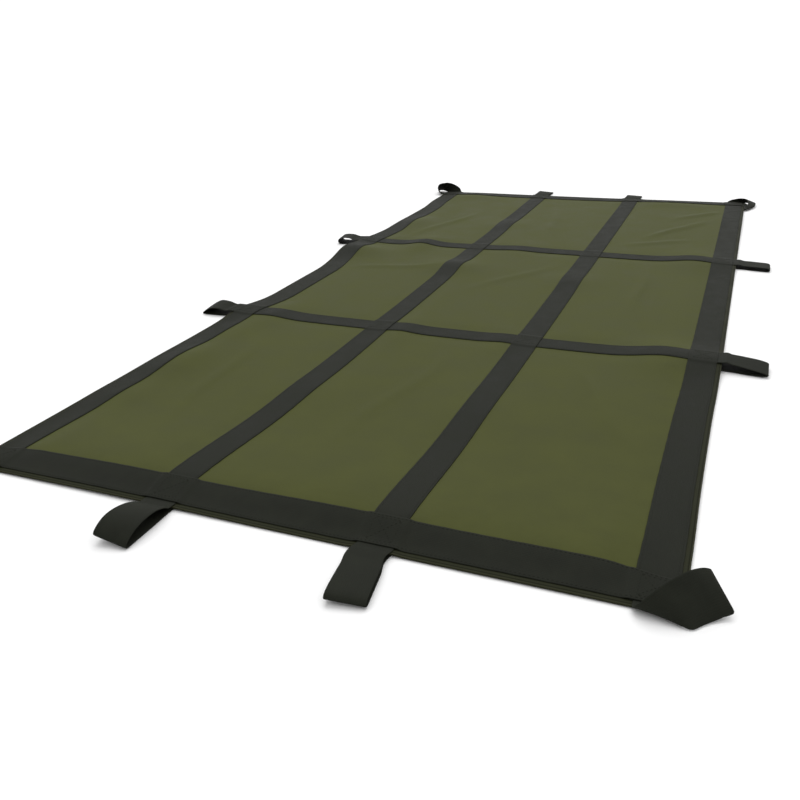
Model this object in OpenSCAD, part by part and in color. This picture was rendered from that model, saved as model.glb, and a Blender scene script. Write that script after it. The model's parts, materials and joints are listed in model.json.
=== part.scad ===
// Flat soft carrying sheet for moving a casualty: two plies of coated cloth, a border and a
// grid of webbing sewn on top, and carrying loops along every edge and at every corner.
// Origin: middle of the sheet, on the floor. X across, Y towards the head end, Z up.

/* [Sheet] */
// Width across the two long hems
sheet_w = 1000; // [900:10:1200]
// Length across the two end hems
sheet_l = 2080; // [1800:10:2400]
// Thickness of each ply of coated cloth
ply_t = 1.2; // [0.8:0.1:1.6]
// Bare hem outside the border webbing
hem_margin = 8; // [4:1:14]

/* [Webbing] */
// Width of all webbing
web_w = 48; // [40:1:55]
// Thickness of all webbing
web_t = 1.6; // [1.2:0.1:2]
// Distance of each lengthwise strap from the centreline
length_strap_x = 153; // [110:1:220]
// Distance of each cross strap from mid-length
cross_strap_y = 325; // [240:5:420]
// Length of the slope where one strap climbs over another
ramp_l = 14; // [8:1:20]

/* [Folding] */
// Distance of each fold line from the centreline
fold_x = 300; // [290:5:340]
// Height of the fold axis, half the depth of the folded roll
fold_h = 24; // [22:1:32]
// Slit between two neighbouring panels at a fold line
fold_gap = 0.6; // [0.4:0.1:1.2]

/* [Edge loops] */
// Reach of the loops at the foot and head ends, past the hem
end_reach = 94; // [80:1:120]
// Reach of the loops along the long sides, past the hem
side_reach = 74; // [60:1:100]
// Height of a well-opened loop
open_rise = 20; // [16:1:22]
// Height of a half-open loop
half_rise = 14; // [12:1:16]
// Height of a loop that lies almost flat
flat_rise = 9.5; // [9:0.5:11]

/* [Corner loops] */
// Height of the corner loops
corner_rise = 36; // [30:1:38]
// How far the crown of a corner loop stands out past the corner, along the diagonal
corner_out = 10; // [6:1:16]
// How steeply a corner loop slopes outwards, as fall per unit of reach
corner_lean = 0.6; // [0.4:0.05:0.7]

/* [Hidden] */
$fn = 32;

CENTRE = 0;
LEFT = -1;
RIGHT = 1;
FOOT = -1;
HEAD = 1;

strap_z = 2 * ply_t;                       // underside of the webbing
crown_z = strap_z + 2 * web_t;             // top of webbing that lies over webbing
border_in = hem_margin + web_w / 2;        // hem to the middle of a border strap
side_border_x = sheet_w / 2 - border_in;
end_border_y = sheet_l / 2 - border_in;
crown_half = web_w / 2 + 1;                // half the level stretch over a crossed strap

knuckle_r = 2.2;                           // round root that a loop turns on
knuckle_x = knuckle_r + 0.8;               // root's distance past the hem
knuckle_z = strap_z + web_t + 0.2;         // height of the loops' axes
leg_split = web_t / 2 + 0.2;               // legs' distance above and below the root's middle
lower_leg_in = 30;                         // where the lower leg comes down to the floor

thread_t = 0.4;
thread_w = 1.2;
box_w = 34;                                // side of a stitched box

cloth = [0.36, 0.38, 0.22];
webbing = [0.20, 0.21, 0.19];
thread = [0.14, 0.15, 0.12];

function smooth(t) = t * t * (3 - 2 * t);
function unit(v) = v / norm(v);

// One panel of the folded sheet: everything between its fold lines and hems
module panel(side) {
    x0 = side == CENTRE ? -fold_x + fold_gap / 2 : fold_x + fold_gap / 2;
    x1 = side == CENTRE ? fold_x - fold_gap / 2 : sheet_w;
    intersection() {
        children();
        mirror([side == LEFT ? 1 : 0, 0, 0])
            translate([x0, -sheet_l, -1]) cube([x1 - x0, 2 * sheet_l, crown_z + 2]);
    }
}

module ply(layer)
    color(cloth)
        translate([-sheet_w / 2, -sheet_l / 2, layer * ply_t]) cube([sheet_w, sheet_l, ply_t]);

// Height gained at x by a strap that climbs over the straps centred on each of crossings
function lift(x, crossings) =
    web_t * max([0, for (c = crossings) min(1, max(0, 1 - (abs(x - c) - crown_half) / ramp_l))]);

// Places where the strap's slope changes, from one end to the other
function bends(len, crossings) = [
    -len / 2,
    for (c = crossings, d = [-crown_half - ramp_l, -crown_half, crown_half, crown_half + ramp_l])
        if (abs(c + d) < len / 2 - 0.5) c + d,
    len / 2
];

// A strap along X that steps up over others; its underside lies on the top ply
module strap(len, crossings) {
    xs = bends(len, crossings);
    under = [for (x = xs) [x, strap_z + lift(x, crossings)]];
    over = [for (i = [len(xs) - 1 : -1 : 0]) [xs[i], strap_z + web_t + lift(xs[i], crossings)]];
    color(webbing)
        rotate([90, 0, 0]) translate([0, 0, -web_w / 2])
            linear_extrude(web_w) polygon(concat(under, over));
}

module length_strap(side)
    translate([side * length_strap_x, 0, 0]) rotate([0, 0, 90])
        strap(sheet_l, [-cross_strap_y, cross_strap_y]);

module cross_strap(end)
    translate([0, end * cross_strap_y, 0]) strap(sheet_w, []);

module side_border(side)
    translate([side * side_border_x, 0, 0]) rotate([0, 0, 90])
        strap(sheet_l - 2 * hem_margin, [-cross_strap_y, cross_strap_y]);

module end_border(end)
    translate([0, end * end_border_y, 0])
        strap(sheet_w - 2 * hem_margin,
              [-side_border_x, -length_strap_x, length_strap_x, side_border_x]);

// A square of stitches with a cross in it, sewn through two layers of webbing
module stitched_box(x, y)
    color(thread)
        translate([x, y, crown_z]) linear_extrude(thread_t) {
            difference() {
                square(box_w, center = true);
                square(box_w - 2 * thread_w, center = true);
            }
            for (turn = [-45, 45])
                rotate(turn) square([box_w * sqrt(2) - 3 * thread_w, thread_w], center = true);
        }

module centre_stitching()
    for (x = [-length_strap_x, length_strap_x], y = [cross_strap_y, end_border_y], end = [-1, 1])
        stitched_box(x, end * y);

module side_stitching(side)
    for (y = [cross_strap_y, end_border_y], end = [-1, 1])
        stitched_box(side * side_border_x, end * y);

// Middle line of an edge loop's ribbon, in its own plane: out along the upper leg, round the
// tip, and back along the floor to the root
function loop_line(reach, rise) =
    let (r = (rise - web_t) / 2, tip_x = reach - web_t / 2 - r, floor_z = web_t / 2, n = 12,
         upper_z = knuckle_z + leg_split, lower_z = knuckle_z - leg_split)
    concat(
        [for (i = [0 : n]) [knuckle_x + (tip_x - knuckle_x) * i / n,
                            upper_z + (2 * r + floor_z - upper_z) * smooth(i / n)]],
        [for (i = [1 : n - 1]) [tip_x + r * sin(180 * i / n),
                                floor_z + r + r * cos(180 * i / n)]],
        [[tip_x, floor_z], [lower_leg_in, floor_z]],
        [for (i = [1 : 6]) [lower_leg_in - (lower_leg_in - knuckle_x) * i / 6,
                            floor_z + (lower_z - floor_z) * smooth(i / 6)]]
    );

// A line moved sideways by d, turning each step's direction by a right angle
function beside(line, d) = [
    for (i = [0 : len(line) - 1])
        let (a = line[max(i - 1, 0)], b = line[min(i + 1, len(line) - 1)], v = unit(b - a))
        line[i] + d * [-v[1], v[0]]
];

// An edge loop: reaches out along +X from the hem, with its width along Y
module edge_loop(reach, rise) {
    line = loop_line(reach, rise);
    inner = beside(line, -web_t / 2);
    outer = beside(line, web_t / 2);
    color(webbing)
        translate([0, web_w / 2, 0]) rotate([90, 0, 0]) {
            linear_extrude(web_w)
                polygon(concat(outer, [for (i = [len(inner) - 1 : -1 : 0]) inner[i]]));
            translate([knuckle_x, knuckle_z, 0]) cylinder(r = knuckle_r, h = web_w);
        }
}

module end_loop(side, end, rise)
    translate([side * length_strap_x, end * sheet_l / 2, 0]) rotate([0, 0, end * 90])
        edge_loop(end_reach, rise);

module side_loop(side, end, rise)
    translate([side * sheet_w / 2, end * cross_strap_y, 0]) rotate([0, 0, side == LEFT ? 180 : 0])
        edge_loop(side_reach, rise);

// A corner loop is a ribbon from the end hem to the side hem. These give its edge that starts
// furthest from the corner, and the direction across the ribbon, at t from 0 to 1. Seen from
// the corner, the side hem runs along +Y and the end hem along -X.
corner_root = hem_margin / 2 + web_w;      // root's furthest point from the corner
corner_gap = 1.5;                          // root's distance past the hem

function crown_edge(t) =
    let (half = corner_root / sqrt(2), along = -half * cos(180 * t),
         out = (half + corner_out) * sin(180 * t) - half)
    [(along + out) / sqrt(2) + corner_gap, (along - out) / sqrt(2) - corner_gap,
     knuckle_z + (corner_rise - knuckle_z - web_t / 2) * pow(sin(180 * t), 0.8)];

function across(t) = unit([1 - smooth(t), -smooth(t), -corner_lean * sin(180 * t)]);

function ribbon_normal(t) =
    let (e = 0.01, t0 = max(t - e, 0), t1 = min(t + e, 1),
         mid0 = crown_edge(t0) + across(t0) * web_w / 2,
         mid1 = crown_edge(t1) + across(t1) * web_w / 2)
    unit(cross(mid1 - mid0, across(t)));

module corner_loop(side, end) {
    n = 28;
    sections = [
        for (i = [0 : n])
            let (t = i / n, p = crown_edge(t), q = p + across(t) * web_w,
                 h = ribbon_normal(t) * web_t / 2)
            each [p + h, q + h, q - h, p - h]
    ];
    sides = [
        for (i = [0 : n - 1], k = [0 : 3])
            let (a = 4 * i + k, b = 4 * i + (k + 1) % 4)
            each [[a, a + 4, b], [b, a + 4, b + 4]]
    ];
    color(webbing)
        translate([side * sheet_w / 2, end * sheet_l / 2, 0])
            mirror([side == LEFT ? 1 : 0, 0, 0]) mirror([0, end == HEAD ? 1 : 0, 0])
                polyhedron(sections, concat([[0, 1, 2], [0, 2, 3]],
                                            [[4 * n + 2, 4 * n + 1, 4 * n],
                                             [4 * n + 3, 4 * n + 2, 4 * n]], sides));
}

module bottom_ply_centre() panel(CENTRE) ply(0);
module top_ply_centre() panel(CENTRE) ply(1);
module length_strap_left() length_strap(LEFT);
module length_strap_right() length_strap(RIGHT);
module cross_strap_foot_centre() panel(CENTRE) cross_strap(FOOT);
module cross_strap_head_centre() panel(CENTRE) cross_strap(HEAD);
module end_border_foot_centre() panel(CENTRE) end_border(FOOT);
module end_border_head_centre() panel(CENTRE) end_border(HEAD);
module stitching_centre() centre_stitching();

module bottom_ply_left() panel(LEFT) ply(0);
module top_ply_left() panel(LEFT) ply(1);
module side_border_left() side_border(LEFT);
module cross_strap_foot_left() panel(LEFT) cross_strap(FOOT);
module cross_strap_head_left() panel(LEFT) cross_strap(HEAD);
module end_border_foot_left() panel(LEFT) end_border(FOOT);
module end_border_head_left() panel(LEFT) end_border(HEAD);
module stitching_left() side_stitching(LEFT);

module bottom_ply_right() panel(RIGHT) ply(0);
module top_ply_right() panel(RIGHT) ply(1);
module side_border_right() side_border(RIGHT);
module cross_strap_foot_right() panel(RIGHT) cross_strap(FOOT);
module cross_strap_head_right() panel(RIGHT) cross_strap(HEAD);
module end_border_foot_right() panel(RIGHT) end_border(FOOT);
module end_border_head_right() panel(RIGHT) end_border(HEAD);
module stitching_right() side_stitching(RIGHT);

module loop_foot_left() end_loop(LEFT, FOOT, open_rise);
module loop_foot_right() end_loop(RIGHT, FOOT, flat_rise);
module loop_head_left() end_loop(LEFT, HEAD, half_rise);
module loop_head_right() end_loop(RIGHT, HEAD, half_rise);
module loop_left_foot() side_loop(LEFT, FOOT, half_rise);
module loop_left_head() side_loop(LEFT, HEAD, open_rise);
module loop_right_foot() side_loop(RIGHT, FOOT, open_rise);
module loop_right_head() side_loop(RIGHT, HEAD, half_rise);

module corner_loop_foot_left() corner_loop(LEFT, FOOT);
module corner_loop_foot_right() corner_loop(RIGHT, FOOT);
module corner_loop_head_left() corner_loop(LEFT, HEAD);
module corner_loop_head_right() corner_loop(RIGHT, HEAD);

bottom_ply_centre();
top_ply_centre();
length_strap_left();
length_strap_right();
cross_strap_foot_centre();
cross_strap_head_centre();
end_border_foot_centre();
end_border_head_centre();
stitching_centre();
bottom_ply_left();
top_ply_left();
side_border_left();
cross_strap_foot_left();
cross_strap_head_left();
end_border_foot_left();
end_border_head_left();
stitching_left();
bottom_ply_right();
top_ply_right();
side_border_right();
cross_strap_foot_right();
cross_strap_head_right();
end_border_foot_right();
end_border_head_right();
stitching_right();
loop_foot_left();
loop_foot_right();
loop_head_left();
loop_head_right();
loop_left_foot();
loop_left_head();
loop_right_foot();
loop_right_head();
corner_loop_foot_left();
corner_loop_foot_right();
corner_loop_head_left();
corner_loop_head_right();
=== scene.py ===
"""Flat soft rescue stretcher: two plies of coated cloth with sewn webbing and carrying loops."""
import json
import math

import bpy
import numpy as np
from mathutils import Matrix, Vector


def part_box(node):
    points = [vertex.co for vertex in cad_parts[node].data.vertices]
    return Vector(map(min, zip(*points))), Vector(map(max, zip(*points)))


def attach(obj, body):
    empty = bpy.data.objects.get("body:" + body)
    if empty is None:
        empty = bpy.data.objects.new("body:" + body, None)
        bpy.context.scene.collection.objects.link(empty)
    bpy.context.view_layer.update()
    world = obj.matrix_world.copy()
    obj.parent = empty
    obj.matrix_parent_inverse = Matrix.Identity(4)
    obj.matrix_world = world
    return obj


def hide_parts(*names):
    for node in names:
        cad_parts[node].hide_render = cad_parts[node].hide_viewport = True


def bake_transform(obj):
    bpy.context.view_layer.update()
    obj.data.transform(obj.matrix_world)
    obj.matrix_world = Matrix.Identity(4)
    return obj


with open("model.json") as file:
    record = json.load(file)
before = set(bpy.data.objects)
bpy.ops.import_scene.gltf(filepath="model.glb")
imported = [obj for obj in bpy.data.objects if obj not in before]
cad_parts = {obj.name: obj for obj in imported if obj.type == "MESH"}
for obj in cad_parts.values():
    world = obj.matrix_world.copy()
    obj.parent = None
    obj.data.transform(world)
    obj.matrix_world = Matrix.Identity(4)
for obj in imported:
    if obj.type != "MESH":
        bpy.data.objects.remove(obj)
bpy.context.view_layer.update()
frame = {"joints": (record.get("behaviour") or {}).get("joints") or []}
MM = 0.001

# Sizes, all read off the CAD model
ply_low, ply_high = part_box("top_ply_right")
HALF_W, HALF_L = ply_high[0], ply_high[1]
PLY = ply_high[2] - ply_low[2]
STRAP_Z = 2 * PLY                                    # underside of the webbing
cross_low, cross_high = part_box("cross_strap_head_centre")
CROSS_Y = (cross_low[1] + cross_high[1]) / 2
WEB_W = cross_high[1] - cross_low[1]
WEB_T = cross_high[2] - cross_low[2]
length_low, length_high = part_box("length_strap_right")
LENGTH_X = (length_low[0] + length_high[0]) / 2
side_low, side_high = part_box("side_border_right")
SIDE_X = (side_low[0] + side_high[0]) / 2
END_Y = side_high[1] - WEB_W / 2
MARGIN = HALF_W - side_high[0]                       # bare hem outside the borders
HINGES = {j["name"]: j for j in frame["joints"]}
FOLD_X = HINGES["right_fold"]["pos_m"][0]
FOLD_HALF = 20 * MM                                  # half the cloth that turns at a fold line
LEFT, RIGHT, FOOT, HEAD = -1, 1, -1, 1
SIDE_NAME = {LEFT: "left", RIGHT: "right"}
END_NAME = {FOOT: "foot", HEAD: "head"}
UV_NAME = "lay"


def smooth(t):
    t = np.clip(t, 0, 1)
    return t * t * (3 - 2 * t)


def bump(d, level, slope):
    """1 where |d| is under level, falling smoothly to 0 over slope."""
    return smooth(1 - (np.abs(d) - level) / slope)


# ---------------------------------------------------------------- how the sheet lies

# Low swells in the cloth: centre x and y, reach in x and y, height
SWELLS = [
    (0.415, -0.330, 0.065, 0.075, 0.0125), (0.410, 0.318, 0.060, 0.085, 0.0090),
    (-0.405, -0.330, 0.045, 0.080, 0.0055), (-0.310, 0.315, 0.040, 0.080, 0.0090),
    (-0.100, -0.335, 0.032, 0.080, 0.0040), (0.110, -0.335, 0.032, 0.070, 0.0028),
    (-0.040, 0.315, 0.045, 0.080, 0.0030), (-0.153, 0.125, 0.070, 0.055, 0.0100),
    (-0.153, 0.590, 0.060, 0.060, 0.0045), (0.153, 0.085, 0.060, 0.060, 0.0045),
    (-0.153, -0.660, 0.060, 0.070, 0.0030), (0.153, -0.650, 0.060, 0.090, 0.0030),
    (-0.435, -0.610, 0.045, 0.090, 0.0110), (-0.435, -0.770, 0.050, 0.050, 0.0040),
    (-0.470, 0.205, 0.085, 0.055, 0.0150), (-0.440, 0.560, 0.045, 0.070, 0.0085),
    (-0.435, -0.450, 0.040, 0.060, 0.0040), (0.280, 0.975, 0.130, 0.045, 0.0050),
    (-0.380, 0.975, 0.080, 0.045, 0.0045), (0.470, 0.780, 0.060, 0.160, 0.0020),
    (0.500, -0.325, 0.050, 0.055, 0.0090), (0.500, 0.315, 0.045, 0.055, 0.0040),
    (-0.500, -0.325, 0.045, 0.055, 0.0060), (-0.500, 0.300, 0.045, 0.060, 0.0060),
]
# Soft folds in the cloth between the straps: middle x and y, bearing, half length, height
FOLDS = [
    (0.335, 0.640, 62, 0.150, 0.0039), (0.395, 0.840, 48, 0.120, 0.0036),
    (0.300, 0.480, 35, 0.090, 0.0027), (0.330, -0.560, 118, 0.140, 0.0024),
    (-0.330, -0.640, 100, 0.180, 0.0024), (-0.300, 0.090, 20, 0.120, 0.0027),
    (0.010, -0.620, 84, 0.200, 0.0021), (0.020, 0.080, 60, 0.150, 0.0021),
    (-0.020, 0.640, 105, 0.160, 0.0027), (-0.340, 0.560, 75, 0.170, 0.0030),
    (0.310, 0.050, 95, 0.170, 0.0024),
]
# Loops in line with the straps: place on the hem and outward direction
STRAIGHT_LOOPS = {}
for e in (FOOT, HEAD):
    for s in (LEFT, RIGHT):
        STRAIGHT_LOOPS[f"loop_{END_NAME[e]}_{SIDE_NAME[s]}"] = ((s * LENGTH_X, e * HALF_L), (0, e))
        STRAIGHT_LOOPS[f"loop_{SIDE_NAME[s]}_{END_NAME[e]}"] = ((s * HALF_W, e * CROSS_Y), (s, 0))


def foot_ridge(x, y):
    """The foot border stands up along its inner edge and falls off slowly up the sheet."""
    from_hem = y + HALF_L
    climb = smooth((from_hem - 2 * MM) / (62 * MM))
    fall = np.exp(-(np.maximum(0, from_hem - 62 * MM) / 0.15) ** 2)
    wave = 1 + 0.16 * np.sin(7 * x + 0.6) + 0.08 * np.sin(19 * x)
    return 11 * MM * wave * climb * fall * bump(x, 0.40, 0.09)


def drift(points):
    """The cloth lies a little out of square: the points moved sideways to suit."""
    points = np.array(points, float)
    x, y = points[:, 0].copy(), points[:, 1].copy()
    left, right = smooth((-0.10 - x) / 0.35), smooth((x - 0.10) / 0.35)
    drawn_in = 1.35 * bump(y + 0.09, 0.10, 0.16) + 0.9 * bump(y - 0.62, 0.14, 0.14)
    spread_out = 0.002 * smooth((y + 0.75) / 0.5) - 0.0012 * bump(y + 0.68, 0.10, 0.15)
    foot = smooth((-y - 0.6) / 0.44)
    at_loop = bump(y + 0.34, 0.06, 0.14) + bump(y - 0.315, 0.06, 0.14)
    points[:, 0] = x + 0.012 * left * drawn_in + right * spread_out
    points[:, 0] -= 0.004 * foot * bump(x + 0.16, 0.06, 0.15)
    points[:, 1] = y - 0.010 * bump(y, 0.30, 0.60) + (0.013 * x - 0.0045) * foot
    points[:, 1] -= 0.008 * smooth((x - 0.38) / 0.08) * at_loop
    return points


def lie(x, y):
    """Height of the sheet's underside over the floor."""
    roll = (np.sin(9.0 * x + 3.1 * y + 0.7) + 1) * (np.sin(5.2 * y - 4.0 * x) + 1)
    z = foot_ridge(x, y) + 0.6 * MM + 0.5 * MM * roll
    for cx, cy, rx, ry, h in SWELLS:
        z = z + h * np.exp(-((x - cx) / rx) ** 2 - ((y - cy) / ry) ** 2)
    for (ox, oy), (dx, dy) in STRAIGHT_LOOPS.values():
        inward = -((x - ox) * dx + (y - oy) * dy)
        aside = (x - ox) * dy - (y - oy) * dx
        lifted = bump(aside, WEB_W / 2, 16 * MM) * bump(inward, 18 * MM, 22 * MM)
        z = z + np.maximum(0, 2.1 * MM - z) * lifted
    return z


STRAP_EDGES_X = [-SIDE_X + WEB_W / 2, -LENGTH_X - WEB_W / 2, -LENGTH_X + WEB_W / 2,
                 LENGTH_X - WEB_W / 2, LENGTH_X + WEB_W / 2, SIDE_X - WEB_W / 2]
STRAP_EDGES_Y = [-END_Y + WEB_W / 2, -CROSS_Y - WEB_W / 2, -CROSS_Y + WEB_W / 2,
                 CROSS_Y - WEB_W / 2, CROSS_Y + WEB_W / 2, END_Y - WEB_W / 2]


def billow(x, y):
    """Rise of the top ply over the bottom one: none under the webbing, a little between it."""
    z = np.zeros_like(x)
    for i in (0, 2, 4):
        for j in (0, 2, 4):
            x0, x1, y0, y1 = (STRAP_EDGES_X[i], STRAP_EDGES_X[i + 1],
                              STRAP_EDGES_Y[j], STRAP_EDGES_Y[j + 1])
            inside = (x > x0) & (x < x1) & (y > y0) & (y < y1)
            to_x = np.minimum(x - x0, x1 - x)
            to_y = np.minimum(y - y0, y1 - y)
            d = np.where(inside, np.minimum(to_x, to_y), 0)
            room = smooth(d / (35 * MM))
            soft = 1.3 * MM * room * (1 + 0.5 * np.sin(14 * x + 2 * i) * np.sin(9 * y + j))
            pucker_x = np.sin(y * 2 * math.pi / (31 * MM) + 2.0 * np.sin(y * 17 + i))
            pucker_y = np.sin(x * 2 * math.pi / (29 * MM) + 2.0 * np.sin(x * 19 + j))
            near_x = np.exp(-to_x / (14 * MM)) * smooth(to_x / (5 * MM))
            near_y = np.exp(-to_y / (14 * MM)) * smooth(to_y / (5 * MM))
            pucker = 0.22 * MM * (near_x * (1 + pucker_x) + near_y * (1 + pucker_y))
            ridge = np.zeros_like(x)
            for cx, cy, bearing, half, h in FOLDS:
                a = math.radians(bearing)
                along = (x - cx) * math.cos(a) + (y - cy) * math.sin(a)
                off = (y - cy) * math.cos(a) - (x - cx) * math.sin(a) + 0.010 * np.sin(along * 16)
                ridge = ridge + h * np.exp(-(off / 0.013) ** 2) * bump(along, 0.3 * half, half)
            z = z + np.where(inside, soft + pucker + ridge * room, 0)
    return z


# ---------------------------------------------------------------- mesh helpers

def make_piece(name, points, faces, uvs, material):
    """A piece from points and faces; uvs holds one (u, v) in metres for each point."""
    mesh = bpy.data.meshes.new(name)
    mesh.from_pydata([tuple(p) for p in drift(points)], [], faces)
    mesh.validate()
    layer = mesh.uv_layers.new(name=UV_NAME)
    corner = np.empty(len(mesh.loops), dtype=np.int32)
    mesh.loops.foreach_get("vertex_index", corner)
    layer.data.foreach_set("uv", np.asarray(uvs, float)[corner].astype(np.float32).ravel())
    mesh.materials.append(material)
    mesh.polygons.foreach_set("use_smooth", [True] * len(mesh.polygons))
    mesh.set_sharp_from_angle(angle=math.radians(50))
    piece = bpy.data.objects.new(name, mesh)
    bpy.context.scene.collection.objects.link(piece)
    return piece


def tube_faces(rows, ring):
    """Quads round and along a stack of rings, with a cap at each end."""
    faces = [(i * ring + k, i * ring + (k + 1) % ring, (i + 1) * ring + (k + 1) % ring,
              (i + 1) * ring + k) for i in range(rows - 1) for k in range(ring)]
    faces.append(tuple(range(ring - 1, -1, -1)))
    faces.append(tuple(range((rows - 1) * ring, rows * ring)))
    return faces


def spaced(a, b, step, fine=()):
    """Numbers from a to b about step apart, with the extra ones of fine among them."""
    n = max(2, int(round((b - a) / step)) + 1)
    even = np.linspace(a, b, n)
    extra = [f for f in fine if a < f < b]
    keep = [v for v in even if all(abs(v - f) > 0.25 * MM for f in extra)]
    return np.array(sorted(keep + extra))


ACROSS = np.array([-1, -0.985, -0.95, -0.86, -0.7, -0.45, -0.2, 0, 0.2, 0.45, 0.7, 0.86, 0.95,
                   0.985, 1])
PLUMP = np.sqrt(np.clip(1.03 - np.abs(ACROSS) ** 26, 0, 1))


def webbing_ring(middle, across, normal):
    """Closed outline of a flat band with rounded edges, round its middle point."""
    half = WEB_T / 2 * PLUMP[:, None]
    over = middle + ACROSS[:, None] * across + half * normal
    under = middle + ACROSS[:, None] * across - half * normal
    return np.concatenate([over, under[::-1]])


def webbing_uvs(distance):
    v = np.concatenate([ACROSS, ACROSS[::-1]]) * WEB_W / 2
    return np.stack([np.full_like(v, distance), v], axis=1)


def band(name, middles, acrosses, normals, material):
    """A length of webbing through given middle points."""
    rings = [webbing_ring(m, a, n) for m, a, n in zip(middles, acrosses, normals)]
    steps = np.linalg.norm(np.diff(middles, axis=0), axis=1)
    travel = np.concatenate([[0], np.cumsum(steps)])
    uvs = np.concatenate([webbing_uvs(d) for d in travel])
    return make_piece(name, np.concatenate(rings), tube_faces(len(rings), 2 * len(ACROSS)),
                      uvs, material)


# ---------------------------------------------------------------- materials

def node_tools(name):
    """A new material with its node tree, a function that adds nodes, and its shader."""
    material = bpy.data.materials.new(name)
    material.use_nodes = True
    tree = material.node_tree
    shader = tree.nodes["Principled BSDF"]

    def add(kind, **values):
        node = tree.nodes.new(kind)
        for key, value in values.items():
            if hasattr(node, key):
                setattr(node, key, value)
            else:
                node.inputs[key.replace("_", " ").title()].default_value = value
        return node

    return material, tree, add, shader


def join(tree, out, into):
    tree.links.new(out, into)


def math_node(tree, add, operation, a, b):
    node = add("ShaderNodeMath", operation=operation)
    for socket, value in zip(node.inputs, (a, b)):
        if isinstance(value, (int, float)):
            socket.default_value = value
        else:
            join(tree, value, socket)
    return node.outputs[0]


def noise(tree, add, vector, scale, detail=3.0, roughness=0.5):
    node = add("ShaderNodeTexNoise", scale=scale, detail=detail, roughness=roughness)
    join(tree, vector, node.inputs["Vector"])
    return node.outputs["Fac"]


def ribs(tree, add, vector, pitch, direction):
    """Even ribs of the given pitch in metres, from 0 to 1."""
    node = add("ShaderNodeTexWave", bands_direction=direction, scale=math.pi / 10 / pitch)
    join(tree, vector, node.inputs["Vector"])
    return node.outputs["Fac"]


def ramp(tree, add, factor, stops):
    node = add("ShaderNodeValToRGB")
    elements = node.color_ramp.elements
    while len(elements) < len(stops):
        elements.new(0.5)
    for element, (position, colour) in zip(elements, stops):
        element.position = position
        element.color = (*colour, 1)
    join(tree, factor, node.inputs["Fac"])
    return node.outputs["Color"]


def spread(tree, add, factor, low, high):
    node = add("ShaderNodeMapRange")
    node.inputs["From Min"].default_value = 0.3
    node.inputs["From Max"].default_value = 0.7
    node.inputs["To Min"].default_value = low
    node.inputs["To Max"].default_value = high
    join(tree, factor, node.inputs["Value"])
    return node.outputs["Result"]


COLOUR_A, COLOUR_B, COLOUR_OUT = 6, 7, 2               # the Mix node's colour sockets


def hem_painted_shade(tree, add, lay, colour):
    """Cloth colour with painted shade round the edge: a darkened hem band, a darker painted shadow
    for the groove between the plies, and a paler lip at the very edge.
    """
    parts = add("ShaderNodeSeparateXYZ")
    join(tree, lay, parts.inputs["Vector"])
    off = [math_node(tree, add, "SUBTRACT", half, math_node(tree, add, "ABSOLUTE", out, 0.0))
           for half, out in ((HALF_W, parts.outputs["X"]), (HALF_L, parts.outputs["Y"]))]
    from_hem = math_node(tree, add, "MINIMUM", *off)
    share = math_node(tree, add, "MULTIPLY", from_hem, 1 / (20 * MM))
    # Painted shade: the hem band is darkened, the groove between the plies gets a darker painted
    # shadow, and the lip at the very edge is left paler.
    edge = ramp(tree, add, share, [
        (0.00, (0.030, 0.031, 0.017)), (0.08, (0.030, 0.031, 0.017)),
        (0.11, (0.009, 0.010, 0.004)), (0.16, (0.009, 0.010, 0.004)),
        (0.20, (0.020, 0.0215, 0.011)), (1.00, (0.020, 0.0215, 0.011))])
    inside = ramp(tree, add, share, [(0.50, (0, 0, 0)), (0.60, (1, 1, 1))])
    mix = add("ShaderNodeMix", data_type="RGBA")
    join(tree, inside, mix.inputs["Factor"])
    join(tree, edge, mix.inputs[COLOUR_A])
    join(tree, colour, mix.inputs[COLOUR_B])
    return mix.outputs[COLOUR_OUT]


def woven(name, dark, light, pitch_u, pitch_v, rough, bump_depth, patch, gloss):
    """Cloth, webbing or thread: crossing ribs, a little mottling, and a roughness that varies."""
    material, tree, add, shader = node_tools(name)
    lay = add("ShaderNodeUVMap", uv_map=UV_NAME).outputs["UV"]
    warp = ribs(tree, add, lay, pitch_u, "X")
    weft = ribs(tree, add, lay, pitch_v, "Y")
    over = math_node(tree, add, "MAXIMUM", warp, weft)
    fuzz = noise(tree, add, lay, 900, 2)
    mottle = noise(tree, add, lay, patch, 5, 0.6)
    tint = math_node(tree, add, "ADD", math_node(tree, add, "MULTIPLY", over, 0.22),
                     math_node(tree, add, "MULTIPLY", mottle, 0.78))
    colour = ramp(tree, add, tint, [(0.30, dark), (0.78, light)])
    # The cloth's hem gets painted shade and a painted shadow for the groove between the plies.
    if name == "coated_cloth":
        colour = hem_painted_shade(tree, add, lay, colour)
    join(tree, colour, shader.inputs["Base Color"])
    join(tree, spread(tree, add, mottle, rough - 0.07, rough + 0.07), shader.inputs["Roughness"])
    shader.inputs["Specular IOR Level"].default_value = gloss
    height = math_node(tree, add, "ADD", math_node(tree, add, "MULTIPLY", over, 0.8),
                       math_node(tree, add, "MULTIPLY", fuzz, 0.35))
    relief = add("ShaderNodeBump")
    relief.inputs["Strength"].default_value = 0.55
    relief.inputs["Distance"].default_value = bump_depth
    join(tree, height, relief.inputs["Height"])
    join(tree, relief.outputs["Normal"], shader.inputs["Normal"])
    return material


DARK_WEB, LIGHT_WEB = (0.0105, 0.0115, 0.0082), (0.0190, 0.0207, 0.0152)
CLOTH = woven("coated_cloth", (0.049, 0.054, 0.0150), (0.067, 0.073, 0.0230), 0.9 * MM, 0.9 * MM,
              0.62, 0.10 * MM, 14, 0.035)
WEBBING = woven("webbing", DARK_WEB, LIGHT_WEB, 1.7 * MM, 2.4 * MM, 0.66, 0.30 * MM, 30, 0.05)
THREAD = woven("thread", DARK_WEB, LIGHT_WEB, 0.8 * MM, 0.8 * MM, 0.60, 0.10 * MM, 60, 0.05)


# ---------------------------------------------------------------- the two plies

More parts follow.
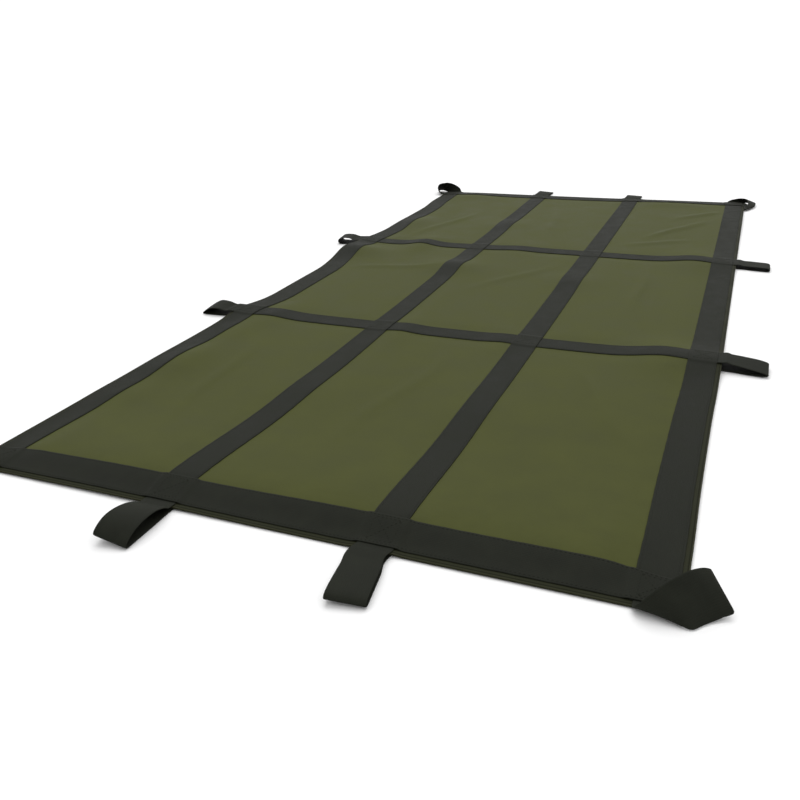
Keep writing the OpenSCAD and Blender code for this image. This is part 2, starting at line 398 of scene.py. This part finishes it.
HEM_STEPS = np.array([0, 0.12, 0.35, 0.7, 1.2, 3, 6, 9, 12, 16]) * MM
HEM_ROUND = 0.8 * MM
FOLD_STEP = 2 * MM                                   # how finely the cloth is cut where it turns
FOLD_STEPS = [s * (FOLD_X + t) for s in (-1, 1)
              for t in np.arange(-FOLD_HALF, FOLD_HALF + MM / 1000, FOLD_STEP)]
PLY_STEP_X, PLY_STEP_Y = 9 * MM, 10 * MM


def ply_piece(name, x0, x1, layer):
    """One closed piece of a ply between x0 and x1; its hems are rounded and slightly full."""
    fine = FOLD_STEPS + [s * (HALF_W - d) for d in HEM_STEPS[1:] for s in (-1, 1)]
    xs = spaced(x0, x1, PLY_STEP_X, fine)
    ends = [s * (HALF_L - d) for d in HEM_STEPS[1:] for s in (-1, 1)]
    ys = spaced(-HALF_L, HALF_L, PLY_STEP_Y, ends)
    x, y = np.meshgrid(xs, ys, indexing="ij")
    from_hem = np.minimum(HALF_W - np.abs(x), HALF_L - np.abs(y))
    round_off = np.sqrt(np.clip(1 - (1 - from_hem / HEM_ROUND).clip(0, 1) ** 2, 0.04, 1))
    full = 0.45 * MM * bump(from_hem - 4 * MM, 1.5 * MM, 4 * MM)
    low = lie(x, y) + layer * PLY
    high = low + PLY + (billow(x, y) + full if layer else 0)
    middle, half = (low + high) / 2, (high - low) / 2 * round_off
    nx, ny = len(xs), len(ys)
    top = np.stack([x, y, middle + half], axis=2).reshape(-1, 3)
    under = np.stack([x, y, middle - half], axis=2).reshape(-1, 3)

    def at(i, j, side):
        return side * nx * ny + i * ny + j

    faces = []
    for i in range(nx - 1):
        for j in range(ny - 1):
            faces.append((at(i, j, 0), at(i + 1, j, 0), at(i + 1, j + 1, 0), at(i, j + 1, 0)))
            faces.append((at(i, j, 1), at(i, j + 1, 1), at(i + 1, j + 1, 1), at(i + 1, j, 1)))
    for i in range(nx - 1):
        faces.append((at(i, 0, 0), at(i, 0, 1), at(i + 1, 0, 1), at(i + 1, 0, 0)))
        faces.append((at(i, ny - 1, 0), at(i + 1, ny - 1, 0), at(i + 1, ny - 1, 1),
                      at(i, ny - 1, 1)))
    for j in range(ny - 1):
        faces.append((at(0, j, 0), at(0, j + 1, 0), at(0, j + 1, 1), at(0, j, 1)))
        faces.append((at(nx - 1, j, 0), at(nx - 1, j, 1), at(nx - 1, j + 1, 1),
                      at(nx - 1, j + 1, 0)))
    points = np.concatenate([top, under])
    piece = make_piece(name, points, faces, points[:, :2], CLOTH)
    return piece


def turn_with_fold(piece, side):
    """The piece is baked in place. It is not bent over the fold line between the centre panel and a
    side panel."""
    if side == LEFT:
        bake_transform(piece)
    else:
        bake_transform(piece)


def make_plies():
    for layer, word in ((0, "bottom_ply"), (1, "top_ply")):
        centre = ply_piece(f"{word}_cloth_centre", -LENGTH_X, LENGTH_X, layer)
        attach(centre, "centre_panel")
        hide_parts(f"{word}_centre")
        for side in (LEFT, RIGHT):
            x0, x1 = sorted((side * LENGTH_X, side * HALF_W))
            piece = ply_piece(f"{word}_cloth_{SIDE_NAME[side]}", x0, x1, layer)
            turn_with_fold(piece, side)
            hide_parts(f"{word}_{SIDE_NAME[side]}")


# ---------------------------------------------------------------- webbing on the sheet

LIFT_RAMP = 9 * MM                                   # length of a strap's step up
LIFT_GAP = 0.4 * MM                                  # from the crossed strap's edge to the step
STRAP_STEP = 9 * MM
EDGE_WAVER = 0.15 * MM                               # how far a strap's edges wander in


def lift(s, crossings):
    """Rise of a strap at distances s along it, where it lies over the crossed straps."""
    high = np.zeros_like(s)
    for c in crossings:
        high = np.maximum(high, bump(s - c, WEB_W / 2 + LIFT_GAP, LIFT_RAMP))
    return WEB_T * high


def on_sheet(x, y, rise):
    """Middle height of webbing that lies on the sheet at x, y."""
    return STRAP_Z + lie(x, y) + rise + WEB_T / 2


def flat_strap(name, along_y, centre, start, stop, crossings):
    """A strap on the sheet along X or Y, centred on the other axis, from start to stop."""
    edges = [c + d * (WEB_W / 2 + LIFT_GAP + LIFT_RAMP * k / 3) for c in crossings
             for d in (-1, 1) for k in range(4)]
    s = spaced(start, stop, STRAP_STEP, edges if along_y else edges + FOLD_STEPS)
    rise = lift(s, crossings)
    rings, uvs = [], []
    for i, distance in enumerate(s):
        aside = centre + ACROSS * (WEB_W / 2 - EDGE_WAVER * (1 + math.sin(distance * 190)))
        x = aside if along_y else np.full_like(aside, distance)
        y = np.full_like(aside, distance) if along_y else aside
        z = on_sheet(x, y, rise[i])
        over = np.stack([x, y, z + WEB_T / 2 * PLUMP], axis=1)
        under = np.stack([x, y, z - WEB_T / 2 * PLUMP], axis=1)
        rings.append(np.concatenate([over, under[::-1]]))
        uvs.append(webbing_uvs(distance))
    faces = tube_faces(len(s), 2 * len(ACROSS))
    if not along_y:
        faces = [face[::-1] for face in faces]
    return make_piece(name, np.concatenate(rings), faces, np.concatenate(uvs), WEBBING)


TAIL = 20 * MM                                       # loop webbing hidden under a border
CLEAR = 0.1 * MM                                     # a loop's lower run over what it lies on


def make_straps():
    cross_at = [-CROSS_Y, CROSS_Y]
    for side in (LEFT, RIGHT):
        word, x = SIDE_NAME[side], side * LENGTH_X
        strap = flat_strap(f"length_webbing_{word}", True, x, -HALF_L + TAIL, HALF_L - TAIL,
                           cross_at)
        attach(strap, "centre_panel")
        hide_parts(f"length_strap_{word}")
        border = flat_strap(f"side_border_webbing_{word}", True, side * SIDE_X,
                            -HALF_L + MARGIN, HALF_L - MARGIN, cross_at)
        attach(border, f"{word}_panel")
        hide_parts(f"side_border_{word}")
        for end in (FOOT, HEAD):
            x0, x1 = sorted((side * LENGTH_X, side * (HALF_W - TAIL)))
            cross = flat_strap(f"cross_webbing_{END_NAME[end]}_{word}", False, end * CROSS_Y,
                               x0, x1, [])
            turn_with_fold(cross, side)
            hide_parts(f"cross_strap_{END_NAME[end]}_{word}")
            x0, x1 = sorted((0, side * (HALF_W - MARGIN)))
            crossed = [side * LENGTH_X, side * SIDE_X]
            edge = flat_strap(f"end_border_webbing_{END_NAME[end]}_{word}", False, end * END_Y,
                              x0, x1, sorted(crossed))
            turn_with_fold(edge, side)
            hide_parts(f"end_border_{END_NAME[end]}_{word}")
            if side == RIGHT:
                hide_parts(f"end_border_{END_NAME[end]}_centre")
    for end in (FOOT, HEAD):
        cross = flat_strap(f"cross_webbing_{END_NAME[end]}_centre", False, end * CROSS_Y,
                           -LENGTH_X, LENGTH_X, [])
        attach(cross, "centre_panel")
        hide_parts(f"cross_strap_{END_NAME[end]}_centre")


# ---------------------------------------------------------------- stitching

STITCH_PITCH = 5.2 * MM
STITCH_LONG = 3.8 * MM
STITCH_WIDE = 0.9 * MM
STITCH_HIGH = 0.35 * MM
ROW_IN = 3.5 * MM                                    # stitched row's distance from an edge
BOX = 34 * MM


def strap_top(x, y):
    """Height of the uppermost webbing's surface at x, y."""
    cross_at = [-CROSS_Y, CROSS_Y]
    on_end = np.abs(np.abs(y) - END_Y) <= WEB_W / 2
    on_side = np.abs(np.abs(x) - SIDE_X) <= WEB_W / 2
    on_length = np.abs(np.abs(x) - LENGTH_X) <= WEB_W / 2
    rise = np.where(on_side | on_length, lift(y, cross_at), 0)
    end_rise = lift(x, [-SIDE_X, -LENGTH_X, LENGTH_X, SIDE_X])
    rise = np.where(on_end, end_rise, rise)
    return on_sheet(x, y, rise) + WEB_T / 2


def row(a, b):
    """Stitches from a to b: their middles and directions."""
    a, b = np.array(a), np.array(b)
    length = np.linalg.norm(b - a)
    n = max(1, int(length / STITCH_PITCH))
    t = (np.arange(n) + 0.5) / n
    middles = a + t[:, None] * (b - a)
    return [(m, (b - a) / length) for m in middles]


def strap_rows():
    """Rows along both edges of every strap, leaving out what another strap covers."""
    half = WEB_W / 2 - ROW_IN
    stitches = []
    for s in (-1, 1):
        for d in (-half, half):
            inner = END_Y - WEB_W / 2
            stitches += row((s * SIDE_X + d, -inner), (s * SIDE_X + d, inner))
            stitches += row((s * LENGTH_X + d, -inner), (s * LENGTH_X + d, inner))
            reach = HALF_W - MARGIN - 2 * MM
            stitches += row((-reach, s * END_Y + d), (reach, s * END_Y + d))
            for a, b in zip(STRAP_EDGES_X[::2], STRAP_EDGES_X[1::2]):
                stitches += row((a + 1 * MM, s * CROSS_Y + d), (b - 1 * MM, s * CROSS_Y + d))
    return stitches


def crossed_box(x, y):
    h = BOX / 2
    corners = [(x - h, y - h), (x + h, y - h), (x + h, y + h), (x - h, y + h)]
    stitches = []
    for i in range(4):
        stitches += row(corners[i], corners[(i + 1) % 4])
    return stitches + row(corners[0], corners[2]) + row(corners[1], corners[3])


def stitch_piece(name, stitches):
    """All of a panel's stitches as small closed beads lying on the webbing."""
    shape = np.array([(-0.5, 0, -0.3), (-0.25, -0.5, -0.2), (-0.25, 0, 1), (-0.25, 0.5, -0.2),
                      (0.25, -0.5, -0.2), (0.25, 0, 1), (0.25, 0.5, -0.2), (0.5, 0, -0.3)])
    bead = [(0, 2, 1), (0, 3, 2), (1, 2, 5, 4), (2, 3, 6, 5), (4, 5, 7), (5, 6, 7),
            (0, 1, 3), (1, 4, 6, 3), (4, 7, 6)]
    points, faces, uvs = [], [], []
    for middle, direction in stitches:
        base = len(points)
        side = np.array([-direction[1], direction[0]])
        for a, b, c in shape:
            p = middle + direction * a * STITCH_LONG + side * b * STITCH_WIDE
            z = float(strap_top(np.array(p[0]), np.array(p[1]))) + c * STITCH_HIGH
            points.append((p[0], p[1], z))
            uvs.append((a * STITCH_LONG, b * STITCH_WIDE))
        faces += [tuple(base + k for k in f) for f in bead]
    return make_piece(name, points, faces, uvs, THREAD)


def make_stitching():
    stitches = strap_rows()
    for s in (-1, 1):
        for e in (-1, 1):
            for x, y in ((LENGTH_X, CROSS_Y), (LENGTH_X, END_Y), (SIDE_X, CROSS_Y),
                         (SIDE_X, END_Y)):
                stitches += crossed_box(s * x, e * y)
    limit = LENGTH_X + WEB_W / 2 + 1 * MM
    centre = stitch_piece("stitches_centre", [p for p in stitches if abs(p[0][0]) <= limit])
    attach(centre, "centre_panel")
    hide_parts("stitching_centre")
    for side in (LEFT, RIGHT):
        mine = [p for p in stitches if p[0][0] * side > limit]
        piece = stitch_piece(f"stitches_{SIDE_NAME[side]}", mine)
        turn_with_fold(piece, side)
        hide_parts(f"stitching_{SIDE_NAME[side]}")


# ---------------------------------------------------------------- loops

def curve_through(points, step):
    """Even points about step apart on a smooth curve through the given ones."""
    p = np.array(points, float)
    p = np.concatenate([[2 * p[0] - p[1]], p, [2 * p[-1] - p[-2]]])
    out = []
    for i in range(1, len(p) - 2):
        span = np.linalg.norm(p[i + 1] - p[i])
        for t in np.linspace(0, 1, max(4, int(span / step * 3)), endpoint=False):
            a, b, c, d = p[i - 1], p[i], p[i + 1], p[i + 2]
            out.append(0.5 * (2 * b + (c - a) * t + (2 * a - 5 * b + 4 * c - d) * t ** 2
                              + (3 * b - a - 3 * c + d) * t ** 3))
    out.append(p[-2])
    out = np.array(out)
    travel = np.concatenate([[0], np.cumsum(np.linalg.norm(np.diff(out, axis=0), axis=1))])
    even = np.linspace(0, travel[-1], max(8, int(travel[-1] / step)))
    return np.stack([np.interp(even, travel, out[:, k]) for k in range(p.shape[1])], axis=1)


LOOP_STEP, CORNER_LOOP_STEP = 2.4 * MM, 3.4 * MM

# Outlines of a loop from the side, as shares of its reach and its height
OPEN = [(0.15, 0.60), (0.33, 0.92), (0.54, 1.00), (0.74, 0.88), (0.90, 0.57), (0.985, 0.26),
        (0.985, 0.07), (0.92, 0.01), (0.65, 0.00), (0.35, 0.00)]
SLACK = [(0.20, 0.62), (0.42, 0.92), (0.66, 1.00), (0.86, 0.92), (0.97, 0.68), (1.00, 0.40),
         (0.96, 0.12), (0.88, 0.02), (0.60, 0.00), (0.35, 0.00)]
FLAT = [(0.22, 0.78), (0.45, 0.92), (0.70, 1.00), (0.90, 1.00), (0.98, 0.78), (1.00, 0.45),
        (0.97, 0.14), (0.90, 0.02), (0.60, 0.00), (0.35, 0.00)]
CREASED = [(0.20, 0.74), (0.40, 0.98), (0.58, 1.00), (0.70, 0.93), (0.82, 0.68), (0.93, 0.40),
           (0.99, 0.20), (0.97, 0.04), (0.65, 0.00), (0.35, 0.00)]
DRAPED = [(0.20, 0.95), (0.40, 0.98), (0.60, 0.97), (0.77, 0.90), (0.89, 0.76), (0.97, 0.56),
          (0.99, 0.36), (0.93, 0.22), (0.65, 0.08), (0.35, 0.00)]
SHEARED = ("loop_right_foot", "loop_right_head")     # lean aside with their ends kept square
# Each straight loop's outline, share of its CAD height, extra reach in mm, lean in degrees, and
# in mm how far its left edge, seen looking outwards, is raised and how far that way it starts
LOOP_SHAPES = {
    "loop_foot_left": (OPEN, 0.97, 0, 1.5, -10, 0), "loop_foot_right": (FLAT, 1.00, 6, 9, -4, -4),
    "loop_head_left": (SLACK, 0.32, -32, -3, 3, 0), "loop_head_right": (SLACK, 0.24, -38, -1, 2, 0),
    "loop_left_foot": (CREASED, 1.20, -3, 3, -5, 7), "loop_left_head": (SLACK, 0.94, -13, 9, 0, 16),
    "loop_right_foot": (DRAPED, 0.46, 2, -8, 4, 0), "loop_right_head": (FLAT, 0.62, 2, -8, 0, -3),
}


def straight_loop(name):
    """A strap's webbing that runs on over the hem, out to a tip and back under the sheet."""
    outline, tall, longer, lean, raised, started = LOOP_SHAPES[name]
    (ox, oy), (dx, dy) = STRAIGHT_LOOPS[name]
    low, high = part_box(name)
    reach = max(abs(high[0]) - abs(ox), abs(low[0]) - abs(ox)) if dx else (
        max(abs(high[1]), abs(low[1])) - abs(oy))
    reach += longer * MM
    height = (high[2] - WEB_T) * tall
    base = WEB_T / 2 + CLEAR
    hem = float(lie(np.array(ox), np.array(oy)))
    over = STRAP_Z + WEB_T / 2 + hem
    side = [(-TAIL, over), (-9 * MM, over), (-1 * MM, over + 0.5 * MM), (7 * MM, over + 1.6 * MM)]
    hangs = max(0, over - base - outline[0][1] * height)
    for i, (u, w) in enumerate(outline):
        held_up = hangs * (1 - smooth(u / 0.95)) if i < 7 else 0
        side.append((u * (reach - WEB_T / 2), base + w * height + held_up))
    side += [(14 * MM, base), (0, base), (-TAIL + 2 * MM, base)]
    line = curve_through(side, LOOP_STEP)
    lean_turn = Matrix.Rotation(math.radians(lean), 3, "Z")
    outward = np.array([dx, dy, 0.0])
    middles, acrosses, normals = [], [], []
    for i, (u, z) in enumerate(line):
        share = smooth(u / (40 * MM))
        turned = np.array(lean_turn @ Vector(outward))
        out = outward + share * (turned - outward)
        out /= np.linalg.norm(out)
        square = outward if name in SHEARED else out
        aside = np.array([-square[1], square[0], 0])
        a, b = line[max(i - 1, 0)], line[min(i + 1, len(line) - 1)]
        v = (b - a) / np.linalg.norm(b - a)
        tangent = out * v[0] + np.array([0, 0, v[1]])
        tip_share = smooth((u / reach - 0.05) / 0.85) * raised * MM / WEB_W
        aside[2] = tip_share
        aside = aside / np.linalg.norm(aside)
        middle = np.array([ox, oy, z]) + out * u
        middle += np.array([-dy, dx, 0]) * started * MM * smooth((u + 12 * MM) / (30 * MM))
        middle[2] += abs(aside[2]) * WEB_W / 2
        middles.append(middle)
        acrosses.append(aside * WEB_W / 2)
        normals.append(np.cross(tangent, aside))
    piece = band(f"{name}_webbing", np.array(middles), acrosses, normals, WEBBING)
    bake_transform(piece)
    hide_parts(name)


# Edges of a corner loop in mm from the corner: x out past the side hem, y in along it. The far
# edge starts and ends furthest from the corner. FLOPPED lies over outwards, UPRIGHT stands and
# SLUMPED has sunk along the side hem.
FLOPPED = (
    [(-52, 7.6, 0), (-52, 2, 0), (-51, -5, 2.5), (-46, -9, 10), (-35, -4, 22), (-20, 9, 32),
     (-4, 27, 35.5), (10, 43, 33.5), (18.5, 50.5, 29), (17.5, 52.5, 25.5), (10, 52.5, 14),
     (2, 52, 3.2), (-3, 52, 0), (-7.6, 52, 0)],
    [(-4, 7.6, 0), (-4, 2, 0), (-3, -6, -0.5), (2, -13, -1.8), (10, -14.5, -1.9),
     (20, -4, -1.5), (32, 7, 0), (42, 14.5, 3), (46, 17.5, 5.5), (44.5, 16.5, 2.2),
     (30, 9, -0.5), (12, 5, -0.8), (0, 4, 0), (-7.6, 4, 0)],
)
UPRIGHT = [
    (-52, 7.6, 0), (-52, 2, 0), (-50, -4, 3), (-42, -9, 14), (-25, -11, 24), (-2, -7, 31),
    (22, 14, 31), (26, 32, 24), (20, 45, 13), (8, 51, 3), (-2, 52, 0), (-7.6, 52, 0)]
SLUMPED = (
    [(-52, 7.6, 0), (-52, 2, 0), (-50, -4, 2.5), (-42, -6, 7), (-28, -3, 11), (-13, 6, 14.5),
     (0, 22, 16), (7, 44, 15), (9, 70, 11), (8, 94, 6), (3, 112, 1), (0, 92, 0),
     (-3, 60, 0), (-7.6, 52, 0)],
    [(-4, 7.6, 0), (-4, 2, 0), (-2.5, -5, -0.5), (4, -8, -0.5), (14, -8, 0), (23, -8, 1),
     (29, 2, 3), (31, 18, 4), (31, 36, 4.5), (29, 54, 2.5), (22, 66, 0.5), (11, 46, 3.5),
     (-2, 12, 2), (-7.6, 4, 0)],
)


def upright():
    """The far edge above, with the near edge worked out a webbing's width away from it."""
    near = []
    n = len(UPRIGHT) - 1
    for i, p in enumerate(UPRIGHT):
        t = smooth((i - 2) / (n - 4))
        fall = 0.62 * math.sin(math.pi * min(1, max(0, (i - 1.5) / (n - 3))))
        v = np.array([1 - t, -t, -fall])
        near.append(tuple(np.array(p) + v / np.linalg.norm(v) * 48))
    return UPRIGHT, near


CORNER_SHAPES = {
    ("foot", "left"): FLOPPED, ("foot", "right"): FLOPPED,
    ("head", "left"): upright(), ("head", "right"): SLUMPED,
}


def corner_loop(side, end):
    """A ribbon from the end hem to the side hem, sewn down over both at the corner."""
    name = f"corner_loop_{END_NAME[end]}_{SIDE_NAME[side]}"
    edges = CORNER_SHAPES[END_NAME[end], SIDE_NAME[side]]
    far, near = (np.array(e, float) * MM for e in edges)
    both = curve_through(np.concatenate([far, near], axis=1), CORNER_LOOP_STEP)
    sewn_z = STRAP_Z + WEB_T / 2 + CLEAR
    middles, acrosses = [], []
    for p in both:
        ends = []
        for x, y, z in (p[:3], p[3:]):
            world = np.array([side * (HALF_W + x), end * (HALF_L - y), 0])
            at_x = np.clip(world[0], -HALF_W, HALF_W)
            at_y = np.clip(world[1], -HALF_L, HALF_L)
            away = math.hypot(world[0] - at_x, world[1] - at_y)
            world[2] = z + sewn_z + float(lie(at_x, at_y)) * (1 - smooth(away / (12 * MM)))
            ends.append(world)
        middles.append((ends[0] + ends[1]) / 2)
        acrosses.append((ends[1] - ends[0]) / 2)
    middles, acrosses = np.array(middles), np.array(acrosses)
    normals = []
    for i in range(len(middles)):
        tangent = middles[min(i + 1, len(middles) - 1)] - middles[max(i - 1, 0)]
        normal = np.cross(tangent, acrosses[i]) * side * end
        normals.append(normal / np.linalg.norm(normal))
    if side * end > 0:
        normals = [-n for n in normals]
    piece = band(f"{name}_webbing", middles, acrosses, normals, WEBBING)
    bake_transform(piece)
    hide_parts(name)


# ---------------------------------------------------------------- floor, light and camera

def make_stage():
    """A wide pale floor under a white sky, brighter behind and above and along the horizon."""
    floor_mesh = bpy.data.meshes.new("floor")
    size = 120
    floor_mesh.from_pydata([(-size, -size, -0.0002), (size, -size, -0.0002),
                            (size, size, -0.0002), (-size, size, -0.0002)], [], [(0, 1, 2, 3)])
    floor = bpy.data.objects.new("floor", floor_mesh)
    bpy.context.scene.collection.objects.link(floor)
    material = bpy.data.materials.new("floor")
    material.use_nodes = True
    shader = material.node_tree.nodes["Principled BSDF"]
    shader.inputs["Base Color"].default_value = (0.90, 0.90, 0.90, 1)
    shader.inputs["Roughness"].default_value = 0.9
    floor_mesh.materials.append(material)
    world = bpy.data.worlds.new("studio")
    bpy.context.scene.world = world
    world.use_nodes = True
    tree = world.node_tree
    tree.nodes["Background"].inputs["Color"].default_value = (1, 1, 1, 1)
    facing = tree.nodes.new("ShaderNodeVectorMath")
    facing.operation = "DOT_PRODUCT"
    facing.inputs[1].default_value = (-0.20, 0.80, 0.56)
    direction = tree.nodes.new("ShaderNodeTexCoord").outputs["Generated"]
    join(tree, direction, facing.inputs[0])
    parts = tree.nodes.new("ShaderNodeSeparateXYZ")
    join(tree, direction, parts.inputs["Vector"])
    low = tree.nodes.new("ShaderNodeMapRange")
    glow = tree.nodes.new("ShaderNodeMapRange")
    glow.interpolation_type = "SMOOTHSTEP"
    for node, source, limits in ((low, parts.outputs["Z"], (0.14, 0.26, 1.1, 0.0)),
                                 (glow, facing.outputs["Value"], (-0.8, 0.5, 0.25, 1.1))):
        for socket, value in zip(("From Min", "From Max", "To Min", "To Max"), limits):
            node.inputs[socket].default_value = value
        join(tree, source, node.inputs["Value"])
    brighter = tree.nodes.new("ShaderNodeMath")
    brighter.operation = "MAXIMUM"
    join(tree, glow.outputs["Result"], brighter.inputs[0])
    join(tree, low.outputs["Result"], brighter.inputs[1])
    join(tree, brighter.outputs["Value"], tree.nodes["Background"].inputs["Strength"])
    bpy.context.scene.view_settings.view_transform = "Standard"


def soft_sun(direction, strength, spread_degrees):
    """Even light over the whole floor from a wide patch of sky."""
    data = bpy.data.lights.new("sky_panel", "SUN")
    data.energy = strength
    data.angle = math.radians(spread_degrees)
    light = bpy.data.objects.new("sky_panel", data)
    light.rotation_euler = Vector(direction).to_track_quat("-Z", "Y").to_euler()
    bpy.context.scene.collection.objects.link(light)


def make_camera():
    """The photograph's viewpoint: low over the right end of the foot, looking up the sheet."""
    place = Vector((0.501, -1.729, 0.560))
    yaw, pitch, roll = math.radians(23.93), math.radians(25.26), math.radians(-2.54)
    forward = Vector((-math.sin(yaw) * math.cos(pitch), math.cos(yaw) * math.cos(pitch),
                      -math.sin(pitch)))
    right = Vector((math.cos(yaw), math.sin(yaw), 0))
    up = right.cross(forward)
    right_rolled = right * math.cos(roll) + up * math.sin(roll)
    up_rolled = up * math.cos(roll) - right * math.sin(roll)
    data = bpy.data.cameras.new("camera")
    data.sensor_width = 36
    data.lens = 35.73
    data.clip_end = 500
    camera = bpy.data.objects.new("camera", data)
    turn = Matrix((right_rolled, up_rolled, -forward)).transposed()
    camera.matrix_world = Matrix.Translation(place) @ turn.to_4x4()
    bpy.context.scene.collection.objects.link(camera)
    bpy.context.scene.camera = camera


make_plies()
make_straps()
make_stitching()
for loop_name in STRAIGHT_LOOPS:
    straight_loop(loop_name)
for loop_side in (LEFT, RIGHT):
    for loop_end in (FOOT, HEAD):
        corner_loop(loop_side, loop_end)
make_stage()
soft_sun((0.25, -0.75, -1.0), 1.1, 50)
make_camera()
